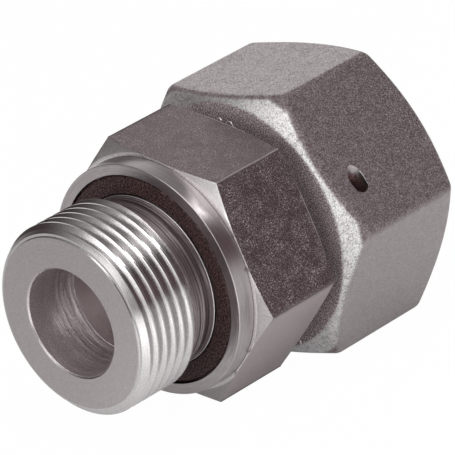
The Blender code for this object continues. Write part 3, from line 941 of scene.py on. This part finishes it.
def blastedSteel():
    finish = Finish("blastedSteel", 0.40, 1.0)
    station, radius, across, height = finish.turned()
    looks = blastedPattern
    grain, pits, cloud = [finish.noise(*looks[name]) for name in ("grain", "pits", "cloud")]
    specks = finish.ramp(grain + (pits - 0.5) * looks["speckPits"], *looks["specks"])
    patterns = {"frontFace": finish.ramp(grain, *looks["frontFace"]),
                "chamfers": finish.ramp(grain + (pits - 0.5) * looks["chamferPits"], *looks["chamfers"])}
    zones, hole = nutZones(finish, station, radius, across, height)
    # the second value paints each side of the nut lighter or darker by the way it faces
    calm, paintedSideShade = sideGrainAndShade(finish, nutGrainAndShade, height, nutEdge["lowest"],
                           nutShape["flats"] / 2 - nutEdge["skin"])
    dark, light, rough = blastedLook["skin"]
    colour = finish.blendColour((specks - 0.5) * calm + 0.5 + paintedSideShade, dark, light)
    for name, zone in zones.items():
        dark, light, zoneRough = blastedLook[name]
        look = finish.blendColour(patterns.get(name, specks), dark, light)
        colour = finish.blendColour(zone, colour, look)
        rough = (1.0 - zone) * rough + zone * zoneRough
    calmer = (1.0 - hole) * (1.0 - zones["chamfers"] * looks["chamferCalm"])
    relief = (grain + pits * looks["reliefPits"]) * calmer
    # the lip is white and not metal, so that it shows as a painted bright line
    return finish.finish(Base_Color=colour, Roughness=rough + (cloud - 0.5) * looks["cloudShare"],
                         Metallic=1.0 - zones["lip"], Normal=finish.bump(relief, 1.0, 0.00025))


def drawnWire(name, dark, light):
    finish = Finish(name, 0.3, 1.0)
    streaks = finish.noise(1500.0, 2.0, 0.5)
    colour = finish.blendColour(streaks, dark, light)
    return finish.finish(Base_Color=colour, Normal=finish.bump(streaks, 0.2, 0.00002))


def sealRubber(name, dark, light):
    finish = Finish(name, 0.5, 0.0)
    mottle = finish.noise(3200.0, 2.0, 0.7)
    colour = finish.blendColour(finish.ramp(mottle, 0.42, 0.68), dark, light)
    return finish.finish(Base_Color=colour, Roughness=0.55 + (mottle - 0.5) * 0.2,
                         Specular_IOR_Level=0.2, Normal=finish.bump(mottle, 0.8, 0.00008))


def dress(piece, material):
    piece.data.materials.clear()
    piece.data.materials.append(material)


dress(buildBody(), turnedSteel())
dress(buildNut(), blastedSteel())
dress(buildSeal(), sealRubber("sealRubber", (0.008, 0.002, 0.002), (0.145, 0.086, 0.082)))
dress(buildRing(), sealRubber("ringRubber", (0.010, 0.010, 0.011), (0.020, 0.020, 0.021)))
dress(buildWire(), drawnWire("drawnWire", (0.48, 0.46, 0.45), (0.56, 0.54, 0.53)))
dress(buildBurrs(), drawnWire("burrSteel", (0.62, 0.59, 0.59), (0.80, 0.78, 0.78)))
print("finishes on")

studio = {
    "floorColour": (0.86, 0.86, 0.86), "floorSize": 3.0, "cameraGlow": 0.985, "glossGlow": 0.19,
    # brighter patches of the table that only reflections find: place, size, glow
    "patches": [((-0.078, -0.045), 0.043, 2.1), ((-0.125, -0.100), 0.060, 2.0)],
    "lamps": [
        # name, azimuth from +Y towards +X, elevation, distance, width, height, watts, spread
        ("keyLamp", -95.0, 18.0, 0.60, 0.50, 0.50, 0.74, 180.0),
        ("fillLamp", -140.0, 60.0, 0.60, 0.40, 0.40, 1.05, 180.0),
        ("backLamp", 123.0, 41.0, 0.70, 0.11, 0.11, 0.36, 180.0),
        ("highLamp", 150.0, 57.0, 0.60, 0.25, 0.25, 0.28, 180.0),
        ("edgeLamp", -85.0, 18.0, 0.60, 0.20, 0.16, 0.13, 180.0),
        ("boreLamp", 102.0, 0.0, 0.075, 0.010, 0.010, 0.00045, 40.0),
    ],
    "ambient": (0.050, 0.032, 0.034),
    # soft lights of the room: azimuth, elevation, sharpness, strength
    "lobes": [(43.0, 8.0, 6.0, 1.48), (-86.0, 18.0, 9.0, 1.0), (-137.0, 20.0, 6.0, 0.50),
              (-80.0, 50.0, 6.0, 0.36), (60.0, 80.0, 5.0, 0.45)],
    "warmLobe": (160.0, 12.0, 12.0, 4.0),
}


# the floor looks nearly white to the camera, and glows only a little in reflections
def buildFloor():
    freshStart()
    bpy.ops.mesh.primitive_plane_add(size=studio["floorSize"], location=(0.0, 0.0, 0.0))
    floor = bpy.context.object
    floor.name = "studioFloor"
    material = bpy.data.materials.new("paleFloor")
    material.use_nodes = True
    material.node_tree.nodes.clear()
    table = Nodes(material.node_tree)
    seen = table.add("LightPath", output="Is Camera Ray")
    glossy = table.add("LightPath", output="Is Glossy Ray")
    gloss = glossy.highest(table.add("LightPath", output="Is Transmission Ray"))
    x, y = table.add("SeparateXYZ", {0: table.add("TexCoord", output="Object")}, output=None)[:2]
    layers = [(seen * studio["cameraGlow"], 1.0), (gloss * studio["glossGlow"], 1.0)]
    for (patchX, patchY), size, strength in studio["patches"]:
        aside, ahead = x - patchX, y - patchY
        fall = (aside * aside + ahead * ahead) * (-1.0 / size ** 2)
        layers.append((gloss * fall.exponent(), strength))
    surface = table.add("BsdfDiffuse", {"Color": (*studio["floorColour"], 1.0)})
    for share, strength in layers:
        glow = table.add("Emission", {"Strength": strength})
        surface = table.add("MixShader", {0: share, 1: surface, 2: glow})
    table.add("OutputMaterial", {"Surface": surface}, output=None)
    dress(floor, material)


def direction(azimuth, elevation):
    a, e = math.radians(azimuth), math.radians(elevation)
    return Vector((math.sin(a) * math.cos(e), math.cos(a) * math.cos(e), math.sin(e)))


def hangLamps():
    centre = Vector((0.0, 0.0, axisHeight))
    for name, azimuth, elevation, distance, width, height, watts, spread in studio["lamps"]:
        light = bpy.data.lights.new(name, "AREA")
        light.shape = "RECTANGLE"
        light.size = width
        light.size_y = height
        light.energy = watts
        light.spread = math.radians(spread)
        lamp = bpy.data.objects.new(name, light)
        bpy.context.scene.collection.objects.link(lamp)
        away = direction(azimuth, elevation)
        lamp.location = centre + away * distance
        lamp.rotation_euler = away.to_track_quat("Z", "Y").to_euler()
        lamp.visible_camera = False


# the room: white for the camera; everything else finds a dimmer room with a few soft lights
def lightRoom():
    world = bpy.data.worlds.new("studioRoom")
    bpy.context.scene.world = world
    world.use_nodes = True
    world.node_tree.nodes.clear()
    room = Nodes(world.node_tree)
    x, y, z = room.add("SeparateXYZ", {0: room.add("TexCoord", output="Generated")}, output=None)

    def lobe(azimuth, elevation, sharpness, level):
        away = direction(azimuth, elevation)
        facing = x * away.x + y * away.y + z * away.z
        return facing.highest(0.0) ** sharpness * level

    strength = 0.0
    for soft in studio["lobes"]:
        strength = lobe(*soft) + strength
    lights = room.add("Background", {"Strength": strength})
    # a little warm light from everywhere keeps the dark reflections brown
    warm = room.add("Background", {"Color": (*studio["ambient"], 1.0),
                                   "Strength": lobe(*studio["warmLobe"]) + 1.0})
    dim = room.add("AddShader", {0: lights, 1: warm})
    white = room.add("Background", {"Color": (1.0, 1.0, 1.0, 1.0)})
    seen = room.add("LightPath", output="Is Camera Ray")
    shown = room.add("MixShader", {0: seen, 1: dim, 2: white})
    room.add("OutputWorld", {"Surface": shown}, output=None)


# the photograph's viewpoint, in millimetres and unit vectors of the part's frame
view = {
    "place": (-475.7365, -519.4976, 271.1484), "right": (0.668456, -0.714967, -0.204913),
    "up": (0.377884, 0.089180, 0.921548), "lens": 360.0, "sensor": 36.0, "nearest": 0.01,
    "furthest": 10.0,
}


def placeCamera():
    lens = bpy.data.cameras.new("photoCamera")
    camera = bpy.data.objects.new("photoCamera", lens)
    bpy.context.scene.collection.objects.link(camera)
    right, up = Vector(view["right"]), Vector(view["up"])
    back = right.cross(up)
    turned = Matrix((right, up, back)).transposed().to_4x4()
    camera.matrix_world = Matrix.Translation(Vector(view["place"]) * mm) @ turned
    lens.lens = view["lens"]
    lens.sensor_width = view["sensor"]
    lens.clip_start = view["nearest"]
    lens.clip_end = view["furthest"]
    bpy.context.scene.camera = camera


buildFloor()
hangLamps()
lightRoom()
placeCamera()
bpy.context.scene.view_settings.view_transform = "Standard"
print("studio ready")
